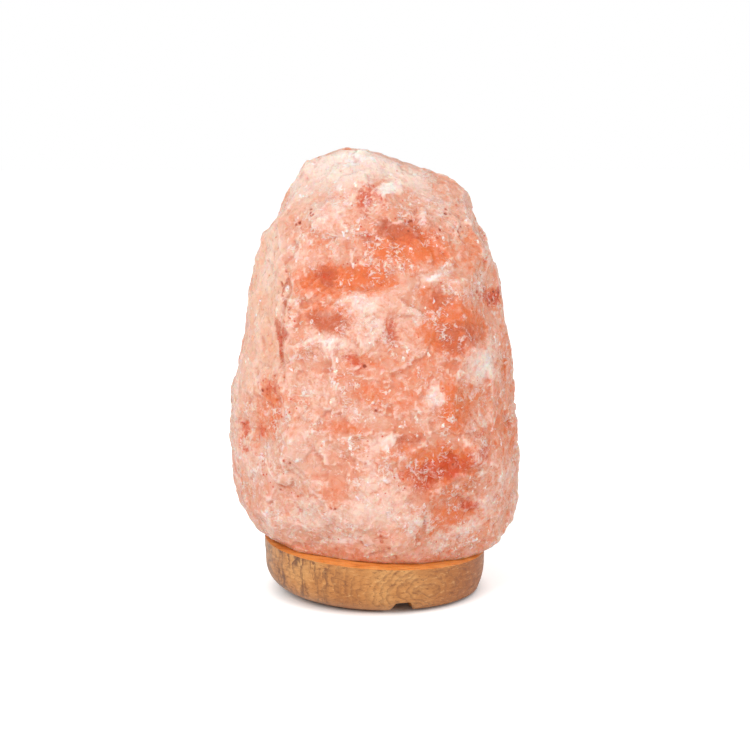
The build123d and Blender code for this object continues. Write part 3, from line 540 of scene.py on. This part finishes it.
class Salt(Finish):
    """Pink rock salt: milky crystals, amber and rusty zones, cleavage edges bright with painted highlights,
    hollows darkened with painted shade.
    """

    def __init__(self):
        super().__init__("pink_rock_salt")
        self.elsewhere = self.math("SUBTRACT", 1.0, self.attribute("front"))
        self.grain = self.noise(2.2, 6, 0.7, 0.6)
        self.mottle = self.noise(8, 6, 0.68, 0.9)
        self.amber = self.zone("amber", 32, 0.11, 0.5, 0.66)
        self.mauve_and_shade = self.zone("mauve_and_shade", 24, 0.23, 0.56, 0.72)
        self.rust = self.zone("rust", 17, 0.31, 0.6, 0.72, 1.3)
        self.milk = self.zone("milk", 22, 0.43, 0.5, 0.66)
        self.cream = self.zone("cream", 55, 0.57, 0.52, 0.66, 0.3)
        # less texture on the smooth cream faces, and less paleness in the deep zones
        self.calm = self.span(self.cream, 0.2, 0.9, 1.0, 0.35)
        deep = self.math("MAXIMUM", self.amber, self.mauve_and_shade)
        self.clear = self.times(self.calm, self.span(deep, 0.1, 0.9, 1.0, 0.35))

    def zone(self, name, size, seed, low, high, fine=0.9):
        """A zone from the front's own, and from noise round the sides and back."""
        edge = self.noise(2.6, 6, 0.68, 0.8, self.turned(location=(seed, 0, 0)))
        broad = self.noise(size, 5, 0.6, 0.8, self.turned(location=(0, seed, 0)))
        cloudy = self.times(self.span(broad, low, high), self.elsewhere)
        amount = self.math("ADD", self.attribute(name), cloudy)
        broken = self.times(self.math("SUBTRACT", edge, 0.5), fine * 2)
        held = self.times(broken, self.span(amount, 0.0, 0.3))
        return self.span(self.math("ADD", amount, held), 0.2, 0.95)

    def paint(self, colour, mask, share, name):
        """Lays one of the salt's shades over the colour where the mask is."""
        return self.blend(self.times(mask, share), colour, salt_shades[name])

    def ground(self):
        """The body's pinks, the smooth faces, paler towards the top with painted light, and the coloured
        zones over them.
        """
        colour = self.ramp(self.noise(30, 5, 0.6, 0.4), *salt_shades["body"])
        drift = self.noise(17, 4, 0.6, 0.8, self.turned((1, 1, 0.6), (0, 40, 0)))
        smooth_face = self.ramp(drift, *salt_shades["smooth_face"])
        # paler towards the top: painted light shining through the thin top
        high_up = self.span(self.parts(self.place)[2], 0.17, 0.205)
        painted_light_top = self.blend(high_up, smooth_face, salt_shades["top"])
        # the cream faces, partly own tone and partly painted light
        colour = self.blend(self.times(self.cream, 0.88), colour, painted_light_top)
        colour = self.paint(colour, self.amber, 0.88, "amber")
        # mauve, partly the salt's own colour and partly painted shade in the hollows and the crevice
        colour = self.paint(colour, self.mauve_and_shade, 0.75, "mauve_and_shade")
        colour = self.paint(colour, self.milk, 0.75, "milk")
        whitest = self.span(self.attribute("milk"), 0.8, 1.0)
        flake = self.times(whitest, self.span(self.mottle, 0.42, 0.54, 0.25, 1.0))
        colour = self.paint(colour, flake, 0.8, "flake")
        return self.paint(colour, self.rust, 0.85, "rust")

    def mottled_with_painted_light(self, colour):
        """Pale and deep mottling and grain, then painted highlights on the edges that stand out and painted
        shade in the hollows.
        """
        mottle, grain, crest = self.mottle, self.grain, self.attribute("crest")
        colour = self.paint(colour, self.span(mottle, 0.52, 0.68, 0.0, 0.6), self.clear, "pale_mottle")
        colour = self.paint(colour, self.span(mottle, 0.48, 0.33, 0.0, 0.5), self.calm, "deep_mottle")
        colour = self.paint(colour, self.span(grain, 0.55, 0.72, 0.0, 0.55), self.clear, "pale_grain")
        colour = self.blend(self.span(grain, 0.45, 0.28, 0.0, 0.45), colour, salt_shades["deep_grain"])
        # painted highlight on edges that stand out, painted shade in hollows
        colour = self.paint(colour, self.span(crest, 0.2, 1.0, 0.0, 0.5), self.clear, "painted_edge_highlight")
        return self.blend(self.span(crest, -0.2, -1.0, 0.0, 0.4), colour, salt_shades["painted_hollow_shade"])

    def strokes(self):
        """Short crisp strokes where the edges of broken crystals catch the light."""
        strokes = None
        for size, width, start, stretch in stroke_kinds:
            drawn = self.noise(size, 2, 0.5, 1.2, self.turned(stretch, (0, 35, 0), (start, 0, 0)))
            drawn = self.math("ABSOLUTE", self.math("SUBTRACT", drawn, 0.5))
            drawn = self.span(drawn, width * 0.4, width, 1.0, 0.0)
            picked = self.noise(3.0, 3, 0.6, vector=self.turned(location=(0, start, 0)))
            drawn = self.times(drawn, self.span(picked, 0.5, 0.56))
            strokes = drawn if strokes is None else self.math("MAXIMUM", strokes, drawn)
        patchy = self.span(self.noise(12, 5, 0.7), 0.48, 0.6)
        return self.times(strokes, self.times(patchy, self.calm))

    def specked(self, colour):
        """Small orange specks of clay, and dark ones in clusters."""
        clay = self.cells(3.4, vector=self.turned(location=(0.2, 0, 0)))
        few = self.span(self.noise(16, 3, 0.5, vector=self.turned(location=(0, 0, 0.4))), 0.52, 0.62)
        colour = self.paint(colour, self.span(clay, 0.08, 0.2, 1.0, 0.0), self.times(few, 0.85), "clay")
        uneven = self.times(self.math("SUBTRACT", self.grain, 0.5), 0.9)
        away = self.math("ADD", self.cells(3.1, vector=self.turned(location=(0.1, 0, 0.3))), uneven)
        near = self.span(self.attribute("speck"), 0.3, 0.8)
        rim = self.times(self.span(away, 0.2, 0.44, 1.0, 0.0), near)
        colour = self.paint(colour, rim, 0.75, "speck_rim")
        middle = self.times(self.span(away, 0.1, 0.24, 1.0, 0.0), near)
        return self.paint(colour, middle, 0.85, "speck")

    def with_painted_glints(self, colour):
        """Painted glints: bright little crystal faces that catch the light, in clusters."""
        picked = self.cells(1.5, "Color", self.turned((1, 1, 0.6), (20, 35, 0)))
        picked = self.span(self.node("ShaderNodeSeparateColor", Color=picked).outputs[0], 0.9, 0.92)
        clusters = self.noise(11, 5, 0.7, vector=self.turned(location=(0.3, 0, 0)))
        # the glints are painted highlights
        painted_glint = self.times(picked, self.span(clusters, 0.5, 0.6))
        painted_glint = self.times(painted_glint, self.span(self.grain, 0.42, 0.55))
        return self.paint(colour, painted_glint, 0.85, "painted_glint")

    def relief(self, strokes):
        """Crystal faces that lean their own ways, under grain, mottle and strokes."""
        lean = self.vector_math("SUBTRACT", self.cells(2.6, "Color"), (0.5, 0.5, 0.5))
        seat = self.vector_math("SUBTRACT", self.place, self.cells(2.6, "Position"))
        facet = self.vector_math("DOT_PRODUCT", lean, seat, "Value")
        relief = self.bump(self.times(facet, PER_METRE), 0.42)
        for height, depth in ((self.grain, 0.75), (self.mottle, 1.0), (strokes, 0.3)):
            relief = self.bump(height, depth, relief)
        return relief


def salt_finish():
    salt = Salt()
    strokes = salt.strokes()
    colour = salt.mottled_with_painted_light(salt.ground())
    colour = salt.paint(colour, strokes, 0.6, "stroke")
    # clay specks, then the painted glints over them
    colour = salt.with_painted_glints(salt.specked(colour))
    gloss = salt.span(salt.grain, 0.35, 0.65, 0.42, 0.24)
    salt.base(Base_Color=colour, Normal=salt.relief(strokes), Roughness=gloss)
    salt.base(IOR=1.54, Specular_IOR_Level=0.3)
    salt.base(Subsurface_Weight=0.85, Subsurface_Scale=3.2 * MM, Subsurface_Radius=(1.0, 0.4, 0.22))
    return salt


block = make_salt_block()
block.data.materials.append(salt_finish().material)
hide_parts("salt_crystal")
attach(block, "lamp_body")


# ------------------------------------------------------------- the wooden base
wood_shades = {
    "body": ((0.3, shade(174, 106, 44)), (0.52, shade(194, 130, 66)), (0.72, shade(212, 156, 92))),
    # painted shade on the right side
    "right": shade(160, 84, 6),
    "ring": shade(108, 58, 24),
    "dark_fibre": shade(112, 60, 24),
    "pale_fibre": shade(232, 182, 118),
    "streak": shade(96, 54, 28),
    "bark": shade(104, 78, 58),
    "pore": shade(92, 54, 32),
    # the sawn top: partly own colour, partly painted light
    "sawn": ((0.36, shade(255, 198, 118)), (0.52, shade(250, 158, 66)), (0.64, shade(166, 82, 26))),
}
ring_spacing = 4.2 * MM
# From the heart of the rings to the middle of the base, in metres.
heart_offset = (-0.026, 0, -0.011)


def growth_rings(wood):
    """Rings round a line that leaves the base at the front, right of the middle."""
    bent = wood.vector_math("SUBTRACT", wood.noise(26, 4, 0.6, output="Color"), (0.5, 0.5, 0.5))
    bent = wood.vector_math("MULTIPLY", bent, (0.03, 0.02, 0.016))
    bent = wood.vector_math("ADD", wood.turned(location=heart_offset), bent)
    flattened = wood.vector_math("MULTIPLY", bent, (1.0, 0.07, 1.5))
    reach = wood.vector_math("LENGTH", flattened, output="Value")
    uneven = wood.noise(6, 4, 0.6, vector=wood.turned((1, 0.2, 1)))
    reach = wood.math("ADD", reach, wood.times(uneven, 0.004))
    rings = wood.math("FRACT", wood.math("DIVIDE", reach, ring_spacing))
    rings = wood.times(wood.span(rings, 0.35, 0.95), wood.span(rings, 1.0, 0.95))
    return wood.times(rings, wood.span(wood.noise(19, 3, 0.5), 0.36, 0.62, 0.15, 1.0))


def wood_finish():
    """Lacquered wood: growth rings, dark streaks and bark at the left, pores, a sawn top partly lit with
    painted light, and painted shade on the right side.
    """
    wood = Finish("lacquered_wood")
    shades = wood_shades
    sideways = wood.parts(wood.place)[0]
    rings = growth_rings(wood)
    fibre = wood.noise(1.6, 6, 0.8, vector=wood.turned((0.45, 0.1, 1)))

    colour = wood.ramp(wood.noise(22, 4, 0.6), *shades["body"])
    # painted shade: darker and more orange towards the right side, away from the light
    colour = wood.blend(wood.span(sideways, 0.018, 0.046, 0.0, 0.88), colour, shades["right"])
    drawn = wood.times(rings, wood.span(sideways, -0.006, -0.026, 0.4, 0.85))
    colour = wood.blend(drawn, colour, shades["ring"])
    colour = wood.blend(wood.span(fibre, 0.5, 0.68, 0.0, 0.8), colour, shades["dark_fibre"])
    colour = wood.blend(wood.span(fibre, 0.47, 0.3, 0.0, 0.6), colour, shades["pale_fibre"])
    # dark streaks towards the left side, and bark at its end
    streak = wood.noise(3.4, 5, 0.7, vector=wood.turned((1, 0.15, 0.2), (0, 14, 0)))
    streak = wood.times(wood.span(sideways, -0.004, -0.042), wood.span(streak, 0.48, 0.6, 0.0, 0.8))
    colour = wood.blend(streak, colour, shades["streak"])
    bark = wood.times(wood.span(sideways, -0.042, -0.052), wood.span(wood.noise(5, 4, 0.7), 0.42, 0.62))
    colour = wood.blend(wood.times(bark, 0.7), colour, shades["bark"])
    pore = wood.span(wood.cells(1.2, vector=wood.turned((1, 0.35, 0.8))), 0.1, 0.26, 1.0, 0.0)
    pore = wood.times(pore, wood.span(wood.noise(8, 4, 0.6), 0.5, 0.6, 0.0, 0.85))
    colour = wood.blend(pore, colour, shades["pore"])
    # the sawn top is more orange: partly the fresh cut's own colour, partly painted light, lifted against the
    # salt block's shade and tinted by orange light from the salt
    normal = wood.node("ShaderNodeNewGeometry").outputs["Normal"]
    top = wood.span(wood.parts(normal)[2], 0.9, 0.97)
    sawn = wood.noise(1.1, 6, 0.8, vector=wood.turned((0.1, 1, 1), (0, 0, 12)))
    colour = wood.blend(wood.times(top, 0.85), colour, wood.ramp(sawn, *shades["sawn"]))

    relief = wood.bump(fibre, 0.12)
    relief = wood.bump(rings, 0.1, relief)
    wood.base(Base_Color=colour, Normal=relief, Roughness=wood.span(fibre, 0.3, 0.8, 0.32, 0.5))
    wood.base(Coat_Weight=0.2, Coat_Roughness=0.3)
    return wood


# --------------------------------------------------- metal, plastic and glass
def metal_finish(name, colour, roughness, grain_size=0.6, relief=0.02, along=(1, 1, 1)):
    metal = Finish(name)
    grain = metal.noise(grain_size, 5, 0.6, vector=metal.turned(along))
    stained = metal.span(metal.noise(6, 3, 0.5), 0.35, 0.7, 0.0, 0.35)
    sheen = metal.span(grain, 0.3, 0.7, roughness * 0.75, roughness * 1.3)
    metal.base(Base_Color=metal.blend(stained, colour, darker(colour, 0.72)), Metallic=1.0)
    metal.base(Roughness=sheen, Normal=metal.bump(grain, relief))
    return metal


def moulded_finish(name, colour, roughness, relief=0.03):
    plastic = Finish(name)
    grain = plastic.noise(0.35, 3, 0.5)
    drift = plastic.noise(11, 3, 0.5)
    stained = plastic.span(drift, 0.35, 0.7, 0.0, 0.12)
    sheen = plastic.span(drift, 0.3, 0.7, roughness * 0.85, roughness * 1.15)
    plastic.base(Base_Color=plastic.blend(stained, colour, darker(colour, 0.8)))
    plastic.base(Roughness=sheen, Normal=plastic.bump(grain, relief))
    return plastic


def glass_finish():
    glass = Finish("clear_bulb_glass")
    ripple = glass.noise(16, 2, 0.5)
    glass.base(Base_Color=glass.blend(ripple, (0.97, 0.98, 0.97, 1), (1, 1, 1, 1)))
    glass.base(Roughness=glass.span(ripple, 0.3, 0.7, 0.01, 0.035), Normal=glass.bump(ripple, 0.05))
    glass.base(IOR=1.47, Transmission_Weight=1.0)
    return glass


zinc = metal_finish("zinc_plated_steel", shade(196, 198, 202), 0.32)
spring_steel = metal_finish("tempered_spring_steel", shade(166, 168, 172), 0.28, 0.5, 0.015, (0.15, 0.15, 1))
brass = metal_finish("contact_brass", shade(214, 178, 104), 0.28)
aluminium = metal_finish("cap_aluminium", shade(208, 208, 206), 0.34)
solder = metal_finish("solder", shade(176, 178, 180), 0.42, 1.2, 0.08)
wire = metal_finish("filament_wire", shade(120, 118, 116), 0.4)
white_plastic = moulded_finish("holder_plastic", shade(232, 230, 222), 0.3)
black_plastic = moulded_finish("gland_plastic", shade(34, 34, 36), 0.4)
nylon = moulded_finish("nylon_plug", shade(214, 212, 202), 0.45)
rubber = moulded_finish("foot_rubber", shade(62, 60, 58), 0.75, 0.06)
steatite = moulded_finish("steatite", shade(226, 220, 206), 0.55, 0.05)
black_glass = moulded_finish("black_glass", shade(24, 22, 28), 0.12, 0.01)
glass = glass_finish()

for finish, nodes in (
    (wood_finish(), ("wood_base",)),
    (zinc, ("base_screws", "terminal_screws", "threaded_nipple", "lock_washer", "lock_nut")),
    (nylon, ("screw_plugs",)),
    (rubber, ("foot_pads",)),
    (spring_steel, ("spring_clip",)),
    (white_plastic, ("holder_cap", "holder_shell")),
    (steatite, ("contact_block",)),
    (brass, ("centre_contact", "terminal_posts")),
    (black_plastic, ("cord_gland",)),
    (solder, ("bulb_contact",)),
    (black_glass, ("bulb_insulator",)),
    (glass, ("bulb_glass", "bulb_stem")),
    (wire, ("bulb_lead_wires", "bulb_filament")),
):
    for node in nodes:
        dress(node, finish)


# --------------------------------------------------- threads of cap and sleeve
# Rolled thread of the bulb's cap and of the sleeve that takes it, in mm. Both walls
# follow one wave, so that they keep their gap while the bulb turns.
thread_pitch = 2.822
thread_wave = 0.25
thread_lift = 0.12
sleeve_flare = thread_lift + thread_wave
thread_fade = 0.8
thread_step = 0.28
wall_band = 1.1
smooth_angle = 40


def roll_thread(node, low, high, widest, flared, body, finish):
    """Rolls a thread into a thin wall between two levels, and flares it above them."""
    piece = free_copy(node, node + "_rolled")
    choose(piece)
    bpy.ops.object.mode_set(mode="EDIT")
    for level in np.arange(low - 1, high + 1, thread_step):
        bpy.ops.mesh.select_all(action="SELECT")
        bpy.ops.mesh.bisect(plane_co=(0, 0, level * MM), plane_no=(0, 0, 1))
    bpy.ops.object.mode_set(mode="OBJECT")
    points = points_of(piece)
    across = np.hypot(points[:, 0], points[:, 1])
    turn = np.arctan2(points[:, 1], points[:, 0])
    wave = thread_lift + thread_wave * np.sin(turn - 2 * np.pi * points[:, 2] / thread_pitch)
    wave *= np.clip((points[:, 2] - low) / thread_fade, 0, 1)
    above = np.clip((points[:, 2] - high) / thread_fade, 0, 1)
    wave = wave * (1 - above) + flared * above
    wave[(across > widest) | (across < widest - wall_band)] = 0
    points[:, :2] *= (1 + wave / np.maximum(across, 1))[:, None]
    put_points(piece, points)
    piece.data.materials.append(finish.material)
    bpy.ops.object.shade_smooth_by_angle(angle=math.radians(smooth_angle))
    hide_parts(node)
    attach(piece, body)


roll_thread("bulb_cap", 52.8, 66.0, 7.0, 0.0, "bulb", aluminium)
roll_thread("thread_shell", 52.0, 64.4, 7.6, sleeve_flare, "lamp_holder", brass)


# --------------------------------------------------------- floor, light, camera
floor_size = 6
floor_lift = 0.5
shadow_reach = 14 * MM
sky_level = 0.6
middle_height = 0.1
softbox_size = 1.0
camera_reach = 0.9
camera_tilt = math.radians(10)
camera_aim = Vector((0, 0, 0.1039))
camera_lens = 90.57
camera_sensor = 36


def make_floor():
    """White floor that keeps the lamp's shadow."""
    bpy.ops.object.select_all(action="DESELECT")
    bpy.ops.mesh.primitive_plane_add(size=floor_size)
    floor = bpy.context.object
    floor.name = "studio_floor"
    paper = Finish("white_floor")
    tooth = paper.noise(4, 3, 0.5)
    paper.base(Base_Color=paper.blend(tooth, (0.9, 0.9, 0.9, 1), (0.92, 0.92, 0.92, 1)), Roughness=0.9)
    paper.base(Specular_IOR_Level=0.0)
    # the camera sees it a little brighter than it is, as white as the backdrop, but not
    # in the shade close under the base
    seen = paper.node("ShaderNodeLightPath").outputs["Is Camera Ray"]
    open_air = paper.node("ShaderNodeAmbientOcclusion", {"samples": 8}, Distance=shadow_reach)
    lift = paper.span(open_air.outputs["AO"], 0.1, 0.75, 0.0, floor_lift)
    paper.base(Emission_Color=(1, 1, 1, 1), Emission_Strength=paper.times(seen, lift))
    floor.data.materials.append(paper.material)


def make_world():
    """Soft white light all round, and a white backdrop for the camera, mirrors and glass."""
    world = bpy.data.worlds.new("studio")
    bpy.context.scene.world = world
    world.use_nodes = True
    tree = world.node_tree
    backdrop = tree.nodes["Background"]
    backdrop.inputs["Color"].default_value = (1, 1, 1, 1)
    path = tree.nodes.new("ShaderNodeLightPath")
    seen = path.outputs["Is Camera Ray"]
    for kind in ("Is Glossy Ray", "Is Transmission Ray"):
        either = tree.nodes.new("ShaderNodeMath")
        either.operation = "ADD"
        either.use_clamp = True
        tree.links.new(seen, either.inputs[0])
        tree.links.new(path.outputs[kind], either.inputs[1])
        seen = either.outputs[0]
    strength = tree.nodes.new("ShaderNodeMapRange")
    strength.inputs["To Min"].default_value = sky_level
    strength.inputs["To Max"].default_value = 1.0
    tree.links.new(seen, strength.inputs["Value"])
    tree.links.new(strength.outputs[0], backdrop.inputs["Strength"])


def softbox(name, place, power):
    """A square lamp aimed at the middle of the object."""
    bpy.ops.object.light_add(type="AREA", location=place)
    lamp = bpy.context.object
    lamp.name = name
    lamp.data.shape = "RECTANGLE"
    lamp.data.size, lamp.data.size_y = softbox_size, softbox_size
    lamp.data.energy = power
    sight = Vector((0, 0, middle_height)) - Vector(place)
    lamp.rotation_euler = sight.to_track_quat("-Z", "Y").to_euler()


def make_camera():
    sight = Vector((0, math.cos(camera_tilt), -math.sin(camera_tilt)))
    bpy.ops.object.camera_add(location=camera_aim - sight * camera_reach)
    camera = bpy.context.object
    camera.name = "photo_camera"
    camera.rotation_euler = sight.to_track_quat("-Z", "Y").to_euler()
    camera.data.sensor_width = camera_sensor
    camera.data.lens = camera_lens
    bpy.context.scene.camera = camera


make_floor()
make_world()
softbox("key_softbox", (-1.0, -1.1, 1.1), 18)
softbox("fill_softbox", (1.2, -1.0, 0.7), 9)
make_camera()
bpy.context.scene.view_settings.view_transform = "Standard"
